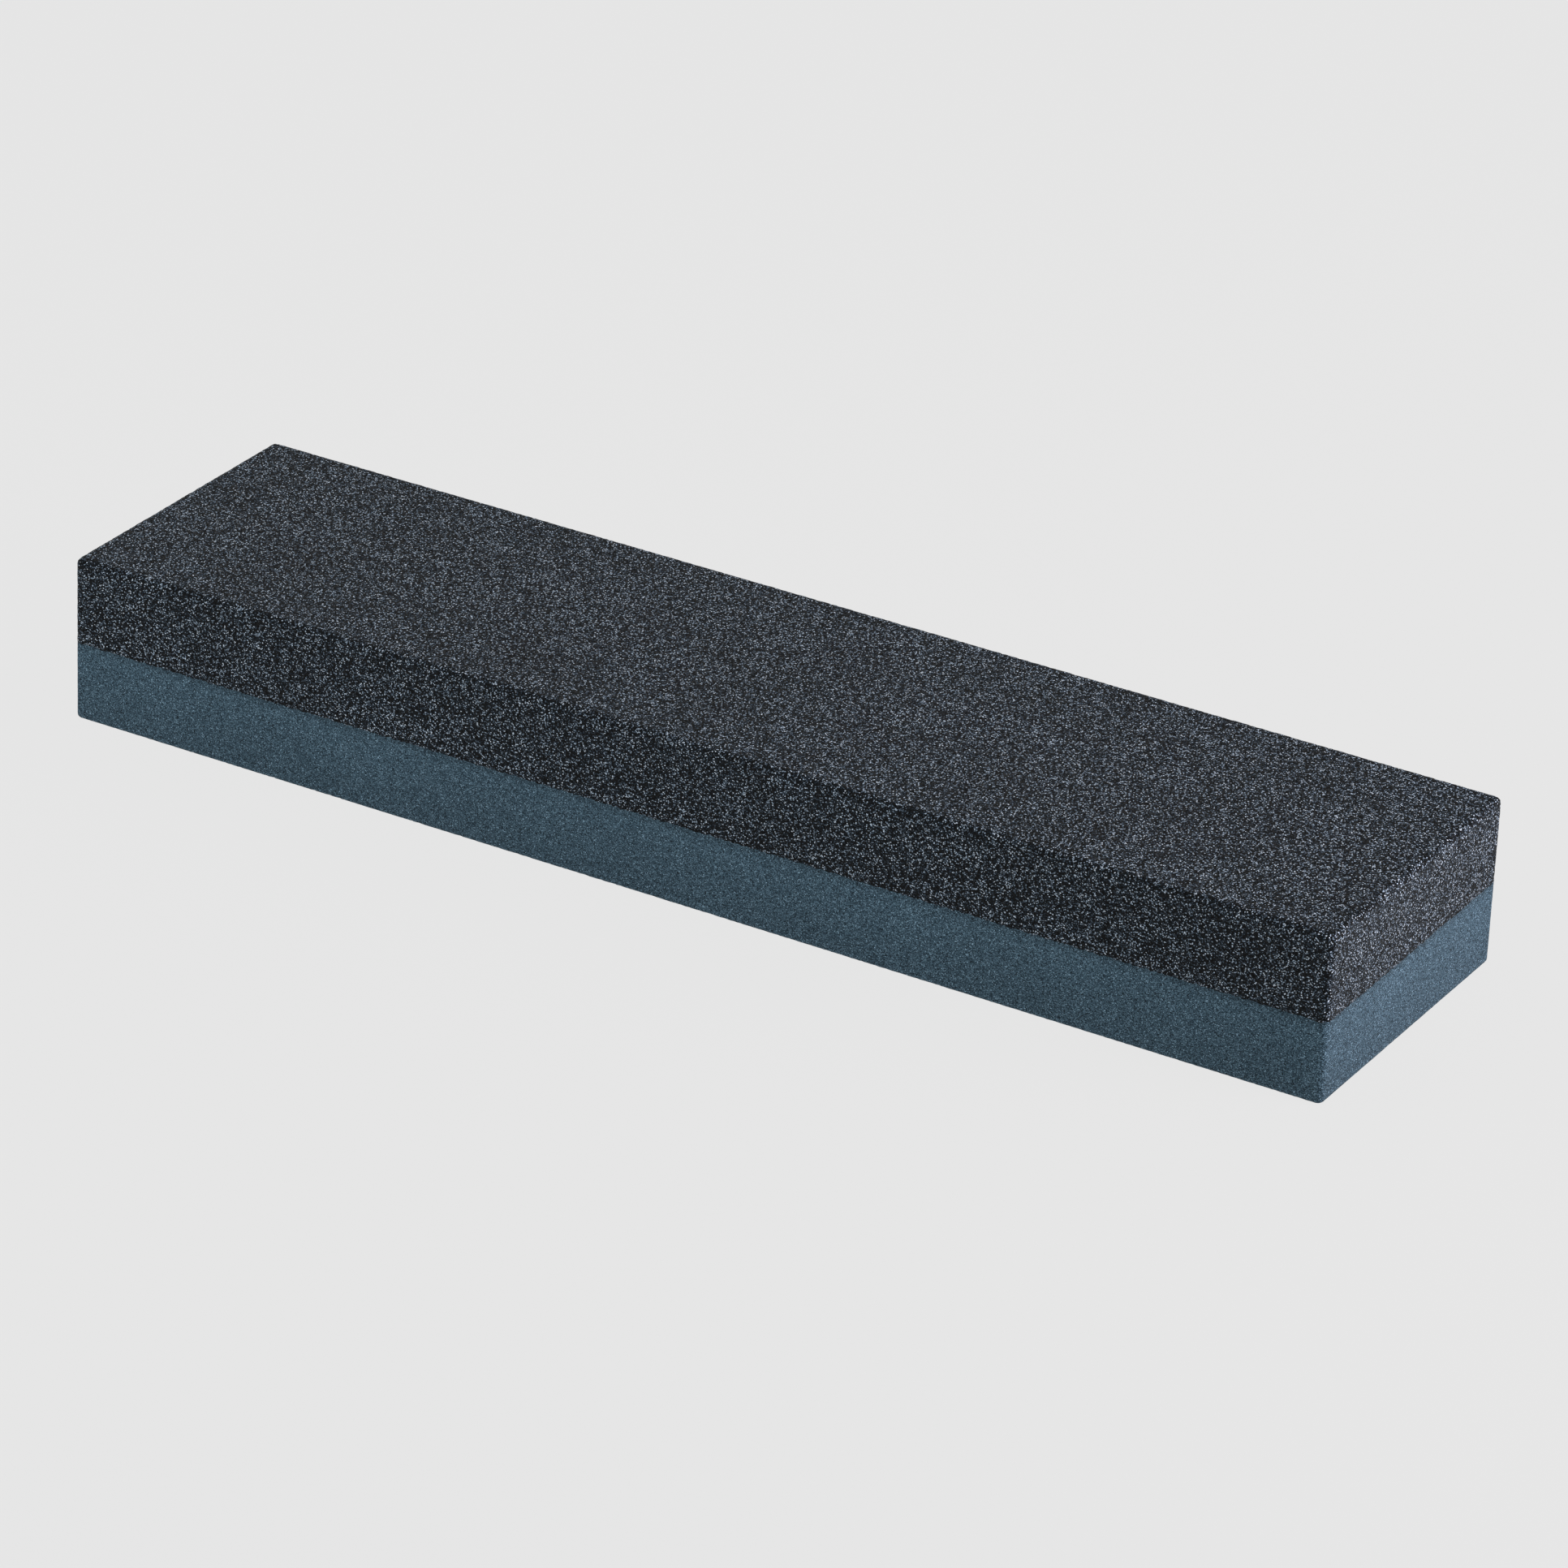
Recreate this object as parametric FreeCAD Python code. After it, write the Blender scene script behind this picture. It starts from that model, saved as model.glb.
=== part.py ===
import FreeCAD, Part
import os
from FreeCAD import Placement, Rotation, Vector

# Two-grit bench stone: a layer of coarse silicon carbide grain on a layer of fine grain, pressed
# in one mould and fired together, so that the two meet face to face with no glue between them.
#
# Frame: +X along the length, +Y across the width, +Z up. The stone lies on its fine face, and
# the origin is the middle of that face.

# Driving dimensions, in millimetres
LENGTH = 200.0
WIDTH = 50.0
HEIGHT = 25.0
FINE_DEPTH = 12.1          # fine layer, measured at the middle of the stone
BOND_RISE_LENGTH = 0.3     # how much higher the joint lies at the +X end than at the -X end
BOND_RISE_WIDTH = 0.1      # how much higher the joint lies at the +Y side than at the -Y side
CORNER_RADIUS = 1.0        # the four upright corners of the mould
COARSE_RIM_RADIUS = 0.9    # rim of the coarse face, which loses more grain when it is rubbed down
FINE_RIM_RADIUS = 0.5      # rim of the fine face
CUTTER_MARGIN = 10.0       # how far the cutting block reaches past the stone on every side

ON_PLANE = 1e-6            # tolerance for an edge that lies at one height


def is_upright(edge):
    """A corner edge of the raw block, which runs from the bottom to the top."""
    box = edge.BoundBox
    return box.ZLength > HEIGHT - ON_PLANE


def is_level_at(height):
    """A test for an edge that runs all its way at one height, as the rims of the two faces do."""
    def test(edge):
        box = edge.BoundBox
        return abs(box.ZMin - height) < ON_PLANE and abs(box.ZMax - height) < ON_PLANE
    return test


def round_off(solid, radius, belongs):
    """Rounds the edges of the solid that belong."""
    return solid.makeFillet(radius, [edge for edge in solid.Edges if belongs(edge)])


def make_stone():
    """The whole stone as it leaves the mould, with its corners and rims eased."""
    corner = Vector(-LENGTH / 2, -WIDTH / 2, 0)
    stone = Part.makeBox(LENGTH, WIDTH, HEIGHT, corner)
    stone = round_off(stone, CORNER_RADIUS, is_upright)
    stone = round_off(stone, COARSE_RIM_RADIUS, is_level_at(HEIGHT))
    return round_off(stone, FINE_RIM_RADIUS, is_level_at(0))


def make_space_under_joint():
    """A block that fills everything below the joint, whose top is the joint's sloping plane."""
    reach_x = LENGTH / 2 + CUTTER_MARGIN
    reach_y = WIDTH / 2 + CUTTER_MARGIN
    depth = FINE_DEPTH + CUTTER_MARGIN
    block = Part.makeBox(2 * reach_x, 2 * reach_y, depth, Vector(-reach_x, -reach_y, -depth))
    normal = Vector(-BOND_RISE_LENGTH / LENGTH, -BOND_RISE_WIDTH / WIDTH, 1)
    block.Placement = Placement(Vector(0, 0, FINE_DEPTH), Rotation(Vector(0, 0, 1), normal))
    return block


def make_layers():
    """The stone divided at its joint into the two grits that it is made of."""
    stone = make_stone()
    under_joint = make_space_under_joint()
    return {
        "fine_grit_layer": stone.common(under_joint),
        "coarse_grit_layer": stone.cut(under_joint),
    }


os.makedirs("parts", exist_ok=True)
for node, shape in make_layers().items():
    solid = shape.Solids[0]
    box = solid.BoundBox
    print(f"{node}: {len(shape.Solids)} solid, valid {solid.isValid()}, volume {solid.Volume:.0f} mm3, "
          f"z {box.ZMin:.2f} to {box.ZMax:.2f} mm")
    solid.exportStep(f"parts/{node}.step")
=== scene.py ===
import math

import bmesh
import bpy
from bpy.props import FloatProperty, FloatVectorProperty, PointerProperty
from mathutils import Matrix, Vector


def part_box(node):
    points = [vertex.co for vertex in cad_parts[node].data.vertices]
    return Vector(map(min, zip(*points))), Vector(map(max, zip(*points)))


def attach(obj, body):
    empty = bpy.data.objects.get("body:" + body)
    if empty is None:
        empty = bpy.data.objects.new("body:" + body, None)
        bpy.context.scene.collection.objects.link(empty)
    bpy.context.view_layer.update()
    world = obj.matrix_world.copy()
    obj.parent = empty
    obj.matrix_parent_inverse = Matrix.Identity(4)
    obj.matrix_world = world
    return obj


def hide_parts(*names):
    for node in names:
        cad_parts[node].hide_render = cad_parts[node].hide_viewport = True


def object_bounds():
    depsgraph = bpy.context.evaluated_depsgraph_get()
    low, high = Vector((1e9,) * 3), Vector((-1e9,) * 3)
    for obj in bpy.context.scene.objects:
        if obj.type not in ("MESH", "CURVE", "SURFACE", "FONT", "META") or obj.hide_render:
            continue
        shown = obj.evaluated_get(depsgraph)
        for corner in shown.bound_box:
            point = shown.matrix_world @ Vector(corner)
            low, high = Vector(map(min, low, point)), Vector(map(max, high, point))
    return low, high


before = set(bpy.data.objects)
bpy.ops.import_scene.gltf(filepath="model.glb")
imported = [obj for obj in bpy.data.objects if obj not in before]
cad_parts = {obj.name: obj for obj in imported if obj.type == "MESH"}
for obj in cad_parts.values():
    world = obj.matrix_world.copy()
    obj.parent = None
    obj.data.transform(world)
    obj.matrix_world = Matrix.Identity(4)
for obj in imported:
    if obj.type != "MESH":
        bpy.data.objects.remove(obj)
cad_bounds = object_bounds()

bl_info = {
    "name": "Two-grit bench stone",
    "version": (1, 0, 0),
    "blender": (4, 5, 0),
    "location": "3D View > Sidebar > Bench Stone",
    "description": "A coarse and a fine silicon carbide layer fired into one sharpening stone",
    "category": "Object",
}

MM = 0.001
COARSE_NODE = "coarse_grit_layer"
FINE_NODE = "fine_grit_layer"
STONE_LOW, STONE_HIGH = cad_bounds
COARSE_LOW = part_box(COARSE_NODE)[0]
FINE_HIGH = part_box(FINE_NODE)[1]

# The joint is a plane that climbs from the lowest point of the coarse layer, at the -X -Y corner,
# to the highest point of the fine layer, at the +X +Y corner. Three quarters of that climb is
# along the length.
JOINT_CLIMB = FINE_HIGH.z - COARSE_LOW.z
JOINT_CLIMB_ALONG_LENGTH = 0.75

# How near a point lies to a plane that it is on, and how much of its length an edge runs along the
# axis that it follows.
ON_PLANE = 0.01 * MM
ALONG_AXIS = 0.9999

CORNER_SEGMENTS = 6
RIM_SEGMENTS = 3

# A mix node has inputs of the same name for numbers, vectors and colours, so these are told apart
# by their place in its list of sockets.
MIX_FACTOR = 0
MIX_COLOUR_A = 6
MIX_COLOUR_B = 7
MIX_COLOUR_RESULT = 2

# Sizes of the cells of space that share one shift along the surface, or one height of relief. They
# are smaller than a facet, so that neighbouring points differ.
SHIFT_CELL = 0.25 * MM
RELIEF_CELL = 0.30 * MM

# Edges of the fine layer that turn less than this are shaded smooth.
FINE_SMOOTH_ANGLE = math.radians(40)

# How many times wider a grain is than it is deep, since pressing lays the flat ones down. The
# value is an estimate.
GRAIN_FLATNESS = 1.3

# The studio. Distances are in metres, the softboxes' powers in watts, and the lens and the sensor
# in millimetres.
FLOOR_SIDE = 12
FLOOR_REFLECTS = 0.03
FLOOR_GLOWS = 0.97
SURROUND_STRENGTH = 0.84
KEY_PLACE = Vector((0.46, 0.10, 0.14))
KEY_SIDE = 0.22
KEY_POWER = 2.0
FILL_PLACE = Vector((-0.20, -0.26, 0.17))
FILL_SIDE = 0.16
FILL_POWER = 0.26

# A long lens looks down at the corner between the right end and the long side.
CAMERA_AZIMUTH = math.radians(29.76)
CAMERA_ELEVATION = math.radians(26.51)
CAMERA_ROLL = math.radians(2.49)
CAMERA_TARGET = Vector((5.72, -5.54, 12.0)) * MM
CAMERA_DISTANCE = 1.080
CAMERA_LENS = 179.9
CAMERA_SENSOR = 36
CAMERA_NEAREST = 0.01


def linear(hex_colour):
    """An sRGB hex colour as linear red, green, blue and alpha."""
    channels = [int(hex_colour[i:i + 2], 16) / 255 for i in (1, 3, 5)]
    return [c / 12.92 if c <= 0.04045 else ((c + 0.055) / 1.055) ** 2.4 for c in channels] + [1.0]


class BenchStoneSizes(bpy.types.PropertyGroup):
    """Sizes of the stone's corners and grain that a user may want to change"""

    corner_radius: FloatProperty(
        name="Corner radius",
        description="Radius of the four upright corners, as the mould leaves them",
        default=1.0 * MM, min=0.2 * MM, max=5 * MM, unit="LENGTH", subtype="DISTANCE",
    )
    coarse_rim_radius: FloatProperty(
        name="Coarse rim radius",
        description="Easing around the coarse face",
        default=0.9 * MM, min=0.1 * MM, max=5 * MM, unit="LENGTH", subtype="DISTANCE",
    )
    fine_rim_radius: FloatProperty(
        name="Fine rim radius",
        description="Easing around the fine face",
        default=0.5 * MM, min=0.1 * MM, max=5 * MM, unit="LENGTH", subtype="DISTANCE",
    )
    facet_size: FloatProperty(
        name="Facet size",
        description="Distance between the points that carry the relief of the surface",
        default=0.44 * MM, min=0.3 * MM, max=5 * MM, unit="LENGTH", subtype="DISTANCE",
    )
    facet_jitter: FloatProperty(
        name="Facet jitter",
        description="How far the points wander along the surface, which also roughens the joint line",
        default=0.12 * MM, min=0.0, max=0.2 * MM, unit="LENGTH", subtype="DISTANCE",
    )
    coarse_relief: FloatProperty(
        name="Coarse relief",
        description="How far coarse grains stand proud or lie low",
        default=0.022 * MM, min=0.0, max=0.2 * MM, unit="LENGTH", subtype="DISTANCE",
    )
    fine_relief: FloatProperty(
        name="Fine relief",
        description="How far the fine surface rises or falls",
        default=0.008 * MM, min=0.0, max=0.1 * MM, unit="LENGTH", subtype="DISTANCE",
    )
    # Both grains are drawn coarser than they are, because the real ones are too fine to show: a 120
    # grit crystal is about 0.12 mm wide, and a 320 grit one is about 0.045 mm.
    coarse_grain: FloatProperty(
        name="Coarse grain",
        description="Width of one coarse crystal as drawn",
        default=0.18 * MM, min=0.05 * MM, max=1 * MM, unit="LENGTH", subtype="DISTANCE",
    )
    fine_grain: FloatProperty(
        name="Fine grain",
        description="Width of one speck of the fine layer as drawn",
        default=0.14 * MM, min=0.05 * MM, max=1 * MM, unit="LENGTH", subtype="DISTANCE",
    )


class BenchStoneColours(bpy.types.PropertyGroup):
    """Colours of the two grits and of the studio"""

    coarse_tint: FloatVectorProperty(
        name="Coarse tint",
        description="Multiplies every coarse crystal's colour",
        default=linear("#FFFFFF"), size=4, min=0, max=1, subtype="COLOR",
    )
    fine_tint: FloatVectorProperty(
        name="Fine tint",
        description="Multiplies every fine speck's colour",
        default=linear("#FFFFFF"), size=4, min=0, max=1, subtype="COLOR",
    )
    sweep: FloatVectorProperty(
        name="Studio sweep",
        description="Colour of the floor and of the light that surrounds the stone",
        default=linear("#E6E6E6"), size=4, min=0, max=1, subtype="COLOR",
    )
    key: FloatVectorProperty(
        name="Key light",
        description="Colour of the softbox that lights the end",
        default=linear("#FFF3FA"), size=4, min=0, max=1, subtype="COLOR",
    )
    fill: FloatVectorProperty(
        name="Fill light",
        description="Colour of the softbox that lights the long side",
        default=linear("#FFFFFF"), size=4, min=0, max=1, subtype="COLOR",
    )


# --- Materials -----------------------------------------------------------------------------------

def add_node(tree, kind, settings=None, inputs=None, stops=()):
    """Adds a node with its settings. An input takes a value, or another node's output as a link.

    Stops are a colour ramp's places and hex colours, of which the first two are its ends.
    """
    node = tree.nodes.new(kind)
    for name, value in (settings or {}).items():
        setattr(node, name, value)
    for name, value in (inputs or {}).items():
        if isinstance(value, bpy.types.NodeSocket):
            tree.links.new(value, node.inputs[name])
        else:
            node.inputs[name].default_value = value
    for i, (place, hex_colour) in enumerate(stops):
        elements = node.color_ramp.elements
        stop = elements[i] if i < 2 else elements.new(place)
        stop.position = place
        stop.color = linear(hex_colour)
    return node


def start_material(name):
    """An empty material with its node tree."""
    material = bpy.data.materials.new(name)
    material.use_nodes = True
    material.node_tree.nodes.clear()
    return material, material.node_tree


def scatter_grains(tree, place, width, lean, darkest_pore_shade):
    """Fills space with grains that have their own chance values and their own lean off the surface.

    The grains lie flat, less deep than they are wide. The third result is painted shade: it darkens
    the gaps between them, as pores that shade falls into, down to the fraction given for the pits.
    A cell's own colour follows its place in the pattern, so it is scrambled once more. Otherwise each
    flat face would cut through grains of nearly one tone.
    """
    flattened = add_node(tree, "ShaderNodeVectorMath", {"operation": "MULTIPLY"}, {
        0: place.outputs["Object"], 1: (1.0, 1.0, GRAIN_FLATNESS),
    })
    grain = add_node(tree, "ShaderNodeTexVoronoi", None, {
        "Vector": flattened.outputs["Vector"], "Scale": 1 / width, "Randomness": 1.0,
    })
    scrambled = add_node(tree, "ShaderNodeTexWhiteNoise", None, {"Vector": grain.outputs["Color"]})
    chance = add_node(tree, "ShaderNodeSeparateColor", None, {"Color": scrambled.outputs["Color"]})
    offset = add_node(tree, "ShaderNodeVectorMath", {"operation": "SUBTRACT"}, {
        0: scrambled.outputs["Color"], 1: (0.5, 0.5, 0.5),
    })
    surface = add_node(tree, "ShaderNodeNewGeometry")
    leaned = add_node(tree, "ShaderNodeVectorMath", {"operation": "MULTIPLY_ADD"}, {
        0: offset.outputs["Vector"], 1: (lean, lean, lean), 2: surface.outputs["Normal"],
    })
    facet = add_node(tree, "ShaderNodeVectorMath", {"operation": "NORMALIZE"}, {
        0: leaned.outputs["Vector"],
    })
    # Painted shade: each grain darkens towards its edge, as in the pores between grains where shade
    # falls.
    painted_pore_shade = add_node(tree, "ShaderNodeMapRange", None, {
        "Value": grain.outputs["Distance"], "From Min": 0.25, "From Max": 0.7,
        "To Min": 1.0, "To Max": darkest_pore_shade,
    })
    return chance, facet, painted_pore_shade


def cloud_the_mix(tree, place, width, low, high):
    """A soft variation of the tone over patches of this width, as in a mix that isn't quite even."""
    cloud = add_node(tree, "ShaderNodeTexNoise", None, {
        "Vector": place.outputs["Object"], "Scale": 1 / width, "Detail": 2.0,
    })
    return add_node(tree, "ShaderNodeMapRange", None, {
        "Value": cloud.outputs["Fac"], "From Min": 0.3, "From Max": 0.7,
        "To Min": low, "To Max": high,
    })


def darken_at_joint(tree, place, reach, darkest):
    """A narrow darker band where the two mixes meet, fading out over this reach."""
    height = add_node(tree, "ShaderNodeVectorMath", {"operation": "DOT_PRODUCT"}, {
        0: place.outputs["Object"], 1: joint_normal(),
    })
    above = add_node(tree, "ShaderNodeMath", {"operation": "SUBTRACT"}, {
        0: height.outputs["Value"], 1: joint_normal().z * joint_height(0, 0),
    })
    away = add_node(tree, "ShaderNodeMath", {"operation": "ABSOLUTE"}, {0: above.outputs["Value"]})
    return add_node(tree, "ShaderNodeMapRange", {"interpolation_type": "SMOOTHSTEP"}, {
        "Value": away.outputs["Value"], "From Max": reach, "To Min": darkest, "To Max": 1.0,
    })


def tint_grains(tree, tone, shades, tint):
    """The grains' tone, multiplied by every shade and by the tint."""
    colour = tone.outputs["Color"]
    for factor in [shade.outputs["Result"] for shade in shades] + [tint]:
        product = add_node(tree, "ShaderNodeMix", {"data_type": "RGBA", "blend_type": "MULTIPLY"}, {
            MIX_FACTOR: 1.0, MIX_COLOUR_A: colour, MIX_COLOUR_B: factor,
        })
        colour = product.outputs[MIX_COLOUR_RESULT]
    return colour


def make_coarse_silicon_carbide(sizes, colours):
    """Vitrified black silicon carbide of about 120 grit, pressed and fired.

    To the eye it is a bed of near-black crystals at all angles with dark pits between them, whose
    darkness is painted shade. Some turn a blue-grey facet to the light, and a few flash white: these
    are painted highlights in the grains' colour, partly real, as the whitest grains are also
    metallic.
    """
    material, tree = start_material("coarse_silicon_carbide")
    place = add_node(tree, "ShaderNodeTexCoord")
    chance, facet, painted_pore_shade = scatter_grains(tree, place, sizes.coarse_grain, 0.8, 0.2)
    # The paler stops are painted highlights: the light caught by facets turned to the lamps, and the
    # white glints of a few, are painted into the grains' colour. Grains past 0.86 are also partly
    # metallic, so part of their flash is real reflection.
    tone = add_node(tree, "ShaderNodeValToRGB", None, {"Fac": chance.outputs["Red"]}, stops=(
        (0.00, "#000204"), (1.00, "#E8F4FF"), (0.54, "#060A0F"), (0.72, "#24313D"),
        (0.84, "#5D6D7D"), (0.94, "#B6CADD"),
    ))
    flash = add_node(tree, "ShaderNodeMapRange", None, {
        "Value": chance.outputs["Red"], "From Min": 0.86, "From Max": 0.92, "To Max": 0.6,
    })
    polish = add_node(tree, "ShaderNodeMapRange", None, {
        "Value": chance.outputs["Blue"], "To Min": 0.4, "To Max": 0.8,
    })
    shades = (
        # Painted shade in the pores between grains.
        painted_pore_shade,
        cloud_the_mix(tree, place, 9 * MM, 0.9, 1.1),
        darken_at_joint(tree, place, 0.9 * MM, 0.75),
    )
    body = add_node(tree, "ShaderNodeBsdfPrincipled", None, {
        "Base Color": tint_grains(tree, tone, shades, colours.coarse_tint),
        "Metallic": flash.outputs["Result"], "Roughness": polish.outputs["Result"],
        "Normal": facet.outputs["Vector"], "IOR": 1.5, "Specular IOR Level": 0.1,
    })
    add_node(tree, "ShaderNodeOutputMaterial", None, {"Surface": body.outputs["BSDF"]})
    return material


def make_fine_silicon_carbide(sizes, colours):
    """Vitrified silicon carbide of about 320 grit, pressed and fired.

    Its grains are too small to tell apart, so it reads as matt slate blue with a close, low
    speckle. Painted shade makes it a little darker towards its face, where it rests on the floor,
    and lighter higher up.
    """
    material, tree = start_material("fine_silicon_carbide")
    place = add_node(tree, "ShaderNodeTexCoord")
    chance, facet, painted_pore_shade = scatter_grains(tree, place, sizes.fine_grain, 0.3, 0.6)
    tone = add_node(tree, "ShaderNodeValToRGB", None, {"Fac": chance.outputs["Red"]}, stops=(
        (0.00, "#0C161D"), (1.00, "#93B4C9"), (0.15, "#213541"), (0.50, "#3B515F"),
        (0.85, "#526C7C"), (0.97, "#6E8A9B"),
    ))
    axes = add_node(tree, "ShaderNodeSeparateXYZ", None, {"Vector": place.outputs["Object"]})
    # Painted shade: darker towards the bottom face, where the stone rests on the floor, and growing
    # lighter up to 10 mm above it.
    painted_floor_shade = add_node(tree, "ShaderNodeMapRange", None, {
        "Value": axes.outputs["Z"], "From Max": 10 * MM, "To Min": 0.86, "To Max": 1.08,
    })
    matt = add_node(tree, "ShaderNodeMapRange", None, {
        "Value": chance.outputs["Blue"], "To Min": 0.6, "To Max": 0.85,
    })
    shades = (
        # Painted shade in the pores between grains.
        painted_pore_shade,
        # Painted shade towards the bottom face.
        painted_floor_shade,
        cloud_the_mix(tree, place, 25 * MM, 0.94, 1.06),
        darken_at_joint(tree, place, 1.3 * MM, 0.75),
    )
    body = add_node(tree, "ShaderNodeBsdfPrincipled", None, {
        "Base Color": tint_grains(tree, tone, shades, colours.fine_tint),
        "Roughness": matt.outputs["Result"], "Normal": facet.outputs["Vector"],
        "IOR": 1.5, "Specular IOR Level": 0.12,
    })
    add_node(tree, "ShaderNodeOutputMaterial", None, {"Surface": body.outputs["BSDF"]})
    return material


def make_light_table(colours):
    """Opal acrylic light table, lit evenly from below so that it takes almost no shadow."""
    material, tree = start_material("opal_light_table")
    body = add_node(tree, "ShaderNodeBsdfPrincipled", None, {
        "Base Color": [FLOOR_REFLECTS * c for c in colours.sweep[:3]] + [1.0], "Roughness": 1.0,
        "Specular IOR Level": 0.0,
        "Emission Color": colours.sweep, "Emission Strength": FLOOR_GLOWS,
    })
    add_node(tree, "ShaderNodeOutputMaterial", None, {"Surface": body.outputs["BSDF"]})
    return material


# --- Shaping the stone ---------------------------------------------------------------------------

def joint_height(x, y):
    """Height of the joint between the grits over a point of the base."""
    along = (x - STONE_LOW.x) / (STONE_HIGH.x - STONE_LOW.x)
    across = (y - STONE_LOW.y) / (STONE_HIGH.y - STONE_LOW.y)
    share = JOINT_CLIMB_ALONG_LENGTH * along + (1 - JOINT_CLIMB_ALONG_LENGTH) * across
    return COARSE_LOW.z + JOINT_CLIMB * share


def joint_normal():
    """Upward normal of the joint's plane."""
    length = STONE_HIGH.x - STONE_LOW.x
    width = STONE_HIGH.y - STONE_LOW.y
    slope_x = JOINT_CLIMB * JOINT_CLIMB_ALONG_LENGTH / length
    slope_y = JOINT_CLIMB * (1 - JOINT_CLIMB_ALONG_LENGTH) / width
    return Vector((-slope_x, -slope_y, 1)).normalized()


def pick(piece, kind, test):
    """In edit mode, leaves only the edges or the faces selected that pass the test."""
    bpy.ops.mesh.select_mode(type=kind)
    bpy.ops.mesh.select_all(action="DESELECT")
    mesh = bmesh.from_edit_mesh(piece.data)
    for part in {"EDGE": mesh.edges, "FACE": mesh.faces}[kind]:
        if test(part):
            part.select_set(True)
    mesh.select_flush_mode()
    bmesh.update_edit_mesh(piece.data)


def at_height(z):
    """A test for an edge or a face that lies level at one height."""
    return lambda part: all(abs(v.co.z - z) < ON_PLANE for v in part.verts)


def runs_along(axis):
    """A test for an edge that runs along one axis, which leaves out the curves of the corners."""
    def test(edge):
        run = edge.verts[1].co - edge.verts[0].co
        return abs(run[axis]) > ALONG_AXIS * run.length
    return test


def cut_into(piece, test, count):
    """Cuts each edge that passes the test into at least so many equal lengths.

    Two rounds of cuts reach a high count with a few cuts each.
    """
    rough = max(1, round(math.sqrt(count)))
    for parts in (rough, math.ceil(count / rough)):
        if parts > 1:
            pick(piece, "EDGE", test)
            bpy.ops.mesh.subdivide(number_cuts=parts - 1)


def add_rounded_block(name, sizes, rims):
    """A block of the whole stone, with its upright corners rounded and its rims eased.

    Each rim is given as its height and its radius.
    """
    bpy.ops.object.select_all(action="DESELECT")
    bpy.ops.mesh.primitive_cube_add(size=1, location=(STONE_LOW + STONE_HIGH) / 2)
    block = bpy.context.object
    block.name = block.data.name = name
    block.scale = STONE_HIGH - STONE_LOW
    bpy.ops.object.transform_apply(location=True, rotation=True, scale=True)
    bpy.ops.object.mode_set(mode="EDIT")
    pick(block, "EDGE", runs_along(2))
    bpy.ops.mesh.bevel(offset=sizes.corner_radius, segments=CORNER_SEGMENTS, affect="EDGES")
    for height, radius in rims:
        pick(block, "EDGE", at_height(height))
        bpy.ops.mesh.bevel(offset=radius, segments=RIM_SEGMENTS, affect="EDGES")
    bpy.ops.object.mode_set(mode="OBJECT")
    return block


def find_rims(sizes):
    """Height and radius of the coarse face's rim and of the fine face's rim."""
    return [(STONE_HIGH.z, sizes.coarse_rim_radius), (STONE_LOW.z, sizes.fine_rim_radius)]


def fill_working_face(piece, height, half_length, half_width):
    """Fills the open rim at this height with a grid, by its two long sides."""
    def is_long_side(edge):
        if not edge.is_boundary or not at_height(height)(edge):
            return False
        middle = (edge.verts[0].co + edge.verts[1].co) / 2
        return half_length - abs(middle.x) > half_width - abs(middle.y)
    pick(piece, "EDGE", is_long_side)
    bpy.ops.mesh.fill_grid()


def make_layer_shell(name, sizes, is_coarse):
    """One grit layer as an open shell of even facets, with the joint side left open."""
    height, rim_radius = find_rims(sizes)[0 if is_coarse else 1]
    layer = add_rounded_block(name, sizes, [(height, rim_radius)])
    length, width, _ = STONE_HIGH - STONE_LOW
    straight_length = length - 2 * sizes.corner_radius
    straight_width = width - 2 * sizes.corner_radius
    wall = abs(height - joint_height(0, 0)) - rim_radius
    bpy.ops.object.mode_set(mode="EDIT")
    bpy.ops.mesh.select_all(action="SELECT")
    bpy.ops.mesh.bisect(
        plane_co=(0, 0, joint_height(0, 0)), plane_no=joint_normal(),
        clear_inner=is_coarse, clear_outer=not is_coarse,
    )
    pick(layer, "FACE", at_height(height))
    bpy.ops.mesh.delete(type="ONLY_FACE")
    cut_into(layer, runs_along(0), straight_length / sizes.facet_size)
    cut_into(layer, runs_along(1), straight_width / sizes.facet_size)
    cut_into(layer, runs_along(2), wall / sizes.facet_size)
    fill_working_face(layer, height, length / 2, width / 2)
    bpy.ops.mesh.select_all(action="SELECT")
    bpy.ops.mesh.normals_make_consistent(inside=False)
    bpy.ops.object.mode_set(mode="OBJECT")
    return layer


def apply_modifier(piece, kind, **settings):
    """Adds a modifier with its settings to the piece and applies it."""
    bpy.ops.object.select_all(action="DESELECT")
    piece.select_set(True)
    bpy.context.view_layer.objects.active = piece
    modifier = piece.modifiers.new(kind.title(), kind)
    for name, value in settings.items():
        setattr(modifier, name, value)
    bpy.ops.object.modifier_apply(modifier=modifier.name)


def make_scatter_texture(name, size, in_colour):
    """A different chance value in every small cell of space."""
    texture = bpy.data.textures.new(name, "CLOUDS")
    texture.noise_basis = "CELL_NOISE"
    texture.noise_scale = size
    texture.noise_depth = 0
    texture.cloud_type = "COLOR" if in_colour else "GRAYSCALE"
    return texture


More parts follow.
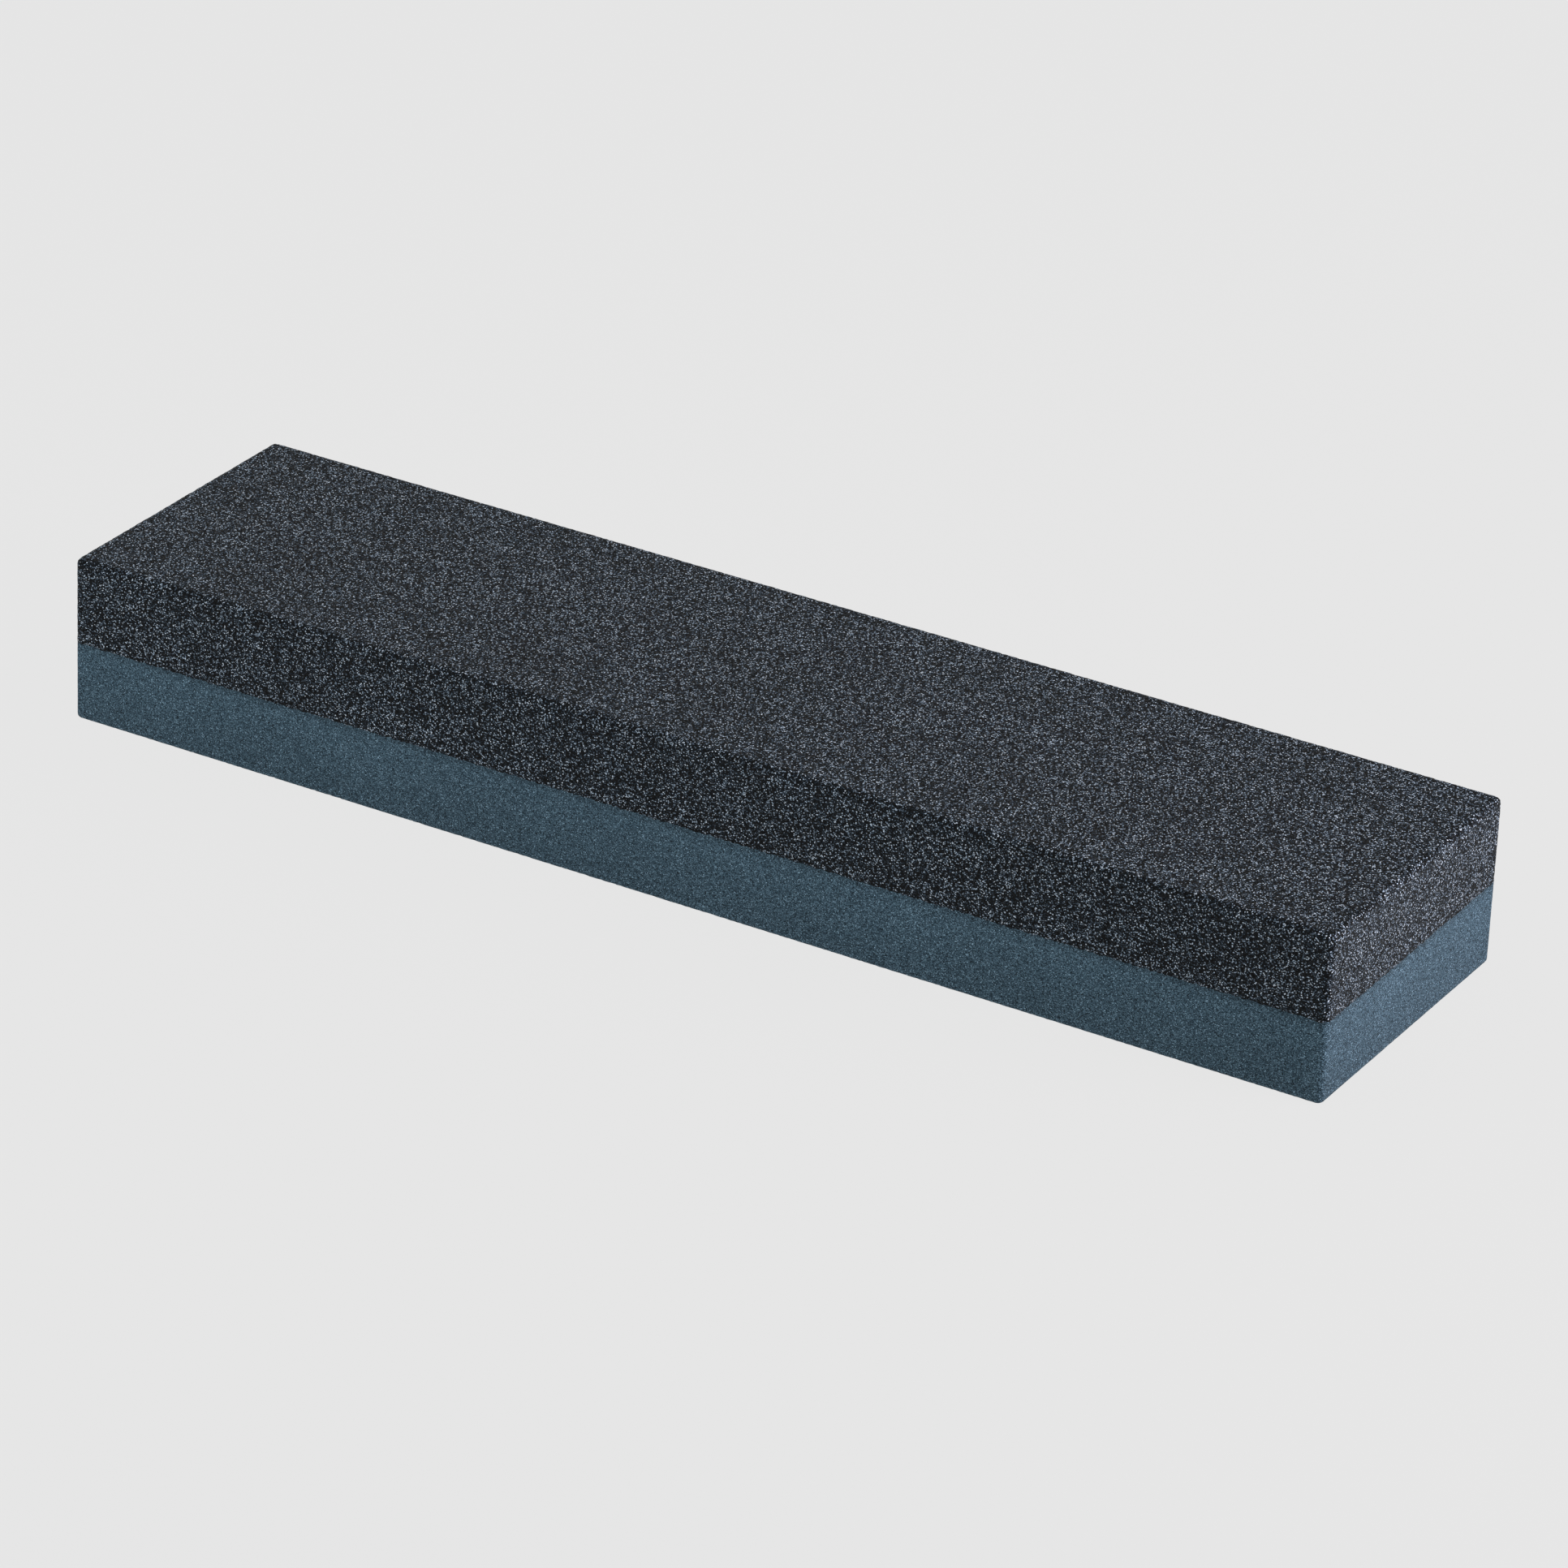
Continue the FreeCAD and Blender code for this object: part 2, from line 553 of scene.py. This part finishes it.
def roughen(piece, sizes, relief):
    """Breaks the even facets up and raises the grain, alike on both layers where they meet."""
    at_joint = [v.index for v in piece.data.vertices
                if abs(v.co.z - joint_height(v.co.x, v.co.y)) < ON_PLANE]
    piece.vertex_groups.new(name="meeting_line").add(at_joint, 1.0, "REPLACE")
    shift = make_scatter_texture("shift", SHIFT_CELL, True)
    apply_modifier(piece, "DISPLACE", texture=shift, texture_coords="LOCAL",
                   direction="RGB_TO_XYZ", strength=2 * sizes.facet_jitter, mid_level=0.5)
    outline = add_rounded_block("outline", sizes, find_rims(sizes))
    apply_modifier(piece, "SHRINKWRAP", target=outline, wrap_method="NEAREST_SURFACEPOINT")
    bpy.data.meshes.remove(outline.data)
    grain = make_scatter_texture("grain", RELIEF_CELL, False)
    apply_modifier(piece, "DISPLACE", texture=grain, texture_coords="LOCAL", mid_level=0.5,
                   strength=2 * sizes.coarse_relief, vertex_group="meeting_line")
    apply_modifier(piece, "DISPLACE", texture=grain, texture_coords="LOCAL", mid_level=0.5,
                   strength=2 * relief, vertex_group="meeting_line", invert_vertex_group=True)


def close_joint(piece):
    """Closes the open side of a layer, where it meets the other one, and tests the whole shell."""
    bpy.ops.object.mode_set(mode="EDIT")
    pick(piece, "EDGE", lambda edge: edge.is_boundary)
    bpy.ops.mesh.edge_face_add()
    bpy.ops.mesh.select_all(action="SELECT")
    bpy.ops.mesh.normals_make_consistent(inside=False)
    bad_edges = sum(not edge.is_manifold for edge in bmesh.from_edit_mesh(piece.data).edges)
    bpy.ops.object.mode_set(mode="OBJECT")
    if bad_edges:
        raise RuntimeError(f"{piece.name} isn't a closed shell: it has {bad_edges} bad edges")


def finish_piece(piece, material, node):
    """Gives a piece its finish and puts it in place of its CAD node."""
    piece.data.materials.clear()
    piece.data.materials.append(material)
    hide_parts(node)
    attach(piece, "root")


class WHETSTONE_OT_coarse_layer(bpy.types.Operator):
    """Model the coarse grit layer, the upper half of the stone"""

    bl_idname = "whetstone.coarse_layer"
    bl_label = "Coarse Grit Layer"

    def execute(self, context):
        sizes, colours = context.scene.bench_stone_sizes, context.scene.bench_stone_colours
        layer = make_layer_shell("coarse_grit", sizes, is_coarse=True)
        roughen(layer, sizes, sizes.coarse_relief)
        close_joint(layer)
        bpy.ops.object.shade_flat()
        finish_piece(layer, make_coarse_silicon_carbide(sizes, colours), COARSE_NODE)
        return {"FINISHED"}


class WHETSTONE_OT_fine_layer(bpy.types.Operator):
    """Model the fine grit layer, the lower half of the stone"""

    bl_idname = "whetstone.fine_layer"
    bl_label = "Fine Grit Layer"

    def execute(self, context):
        sizes, colours = context.scene.bench_stone_sizes, context.scene.bench_stone_colours
        layer = make_layer_shell("fine_grit", sizes, is_coarse=False)
        roughen(layer, sizes, sizes.fine_relief)
        close_joint(layer)
        bpy.ops.object.shade_smooth_by_angle(angle=FINE_SMOOTH_ANGLE)
        finish_piece(layer, make_fine_silicon_carbide(sizes, colours), FINE_NODE)
        return {"FINISHED"}


def add_softbox(name, place, side, power, colour):
    """A square softbox that faces the middle of the stone."""
    middle = (STONE_LOW + STONE_HIGH) / 2
    facing = (middle - place).to_track_quat("-Z", "Y").to_euler()
    bpy.ops.object.light_add(type="AREA", location=place, rotation=facing)
    light = bpy.context.object
    light.name = name
    light.data.size = side
    light.data.energy = power
    light.data.color = colour[:3]


def add_camera():
    """A camera that stands back from the target and looks at it, with a slight roll."""
    back = Vector((
        math.sin(CAMERA_AZIMUTH) * math.cos(CAMERA_ELEVATION),
        -math.cos(CAMERA_AZIMUTH) * math.cos(CAMERA_ELEVATION),
        math.sin(CAMERA_ELEVATION),
    ))
    right = Vector((math.cos(CAMERA_AZIMUTH), math.sin(CAMERA_AZIMUTH), 0))
    right = Matrix.Rotation(CAMERA_ROLL, 3, back) @ right
    up = back.cross(right)
    bpy.ops.object.camera_add()
    camera = bpy.context.object
    camera.data.lens = CAMERA_LENS
    camera.data.sensor_width = CAMERA_SENSOR
    camera.data.clip_start = CAMERA_NEAREST
    turn = Matrix((right, up, back)).transposed().to_4x4()
    camera.matrix_world = Matrix.Translation(CAMERA_TARGET + CAMERA_DISTANCE * back) @ turn
    return camera


class WHETSTONE_OT_stage(bpy.types.Operator):
    """Set up the floor, the light and the camera"""

    bl_idname = "whetstone.stage"
    bl_label = "Studio"

    def execute(self, context):
        colours = context.scene.bench_stone_colours
        bpy.ops.object.select_all(action="DESELECT")
        bpy.ops.mesh.primitive_plane_add(size=FLOOR_SIDE, location=(0, 0, STONE_LOW.z))
        floor = context.object
        floor.name = "floor"
        floor.data.materials.append(make_light_table(colours))

        world = bpy.data.worlds.new("studio")
        context.scene.world = world
        world.use_nodes = True
        surround = world.node_tree.nodes["Background"]
        surround.inputs["Color"].default_value = colours.sweep
        surround.inputs["Strength"].default_value = SURROUND_STRENGTH

        add_softbox("key_light", KEY_PLACE, KEY_SIDE, KEY_POWER, colours.key)
        add_softbox("fill_light", FILL_PLACE, FILL_SIDE, FILL_POWER, colours.fill)

        context.scene.camera = add_camera()
        context.scene.view_settings.view_transform = "Standard"
        return {"FINISHED"}


class WHETSTONE_PT_panel(bpy.types.Panel):
    """Sidebar panel with the stone's sizes, colours and building steps"""

    bl_idname = "WHETSTONE_PT_panel"
    bl_label = "Bench Stone"
    bl_space_type = "VIEW_3D"
    bl_region_type = "UI"
    bl_category = "Bench Stone"

    def draw(self, context):
        for group in (context.scene.bench_stone_sizes, context.scene.bench_stone_colours):
            for name in group.__annotations__:
                self.layout.prop(group, name)
        for step in OPERATORS:
            self.layout.operator(step.bl_idname)


GROUPS = (BenchStoneSizes, BenchStoneColours)
OPERATORS = (WHETSTONE_OT_coarse_layer, WHETSTONE_OT_fine_layer, WHETSTONE_OT_stage)
CLASSES = GROUPS + OPERATORS + (WHETSTONE_PT_panel,)


def register():
    for cls in CLASSES:
        bpy.utils.register_class(cls)
    bpy.types.Scene.bench_stone_sizes = PointerProperty(type=BenchStoneSizes)
    bpy.types.Scene.bench_stone_colours = PointerProperty(type=BenchStoneColours)


def unregister():
    del bpy.types.Scene.bench_stone_colours
    del bpy.types.Scene.bench_stone_sizes
    for cls in reversed(CLASSES):
        bpy.utils.unregister_class(cls)


def main():
    register()
    bpy.ops.whetstone.coarse_layer()
    bpy.ops.whetstone.fine_layer()
    bpy.ops.whetstone.stage()


if __name__ == "__main__":
    main()
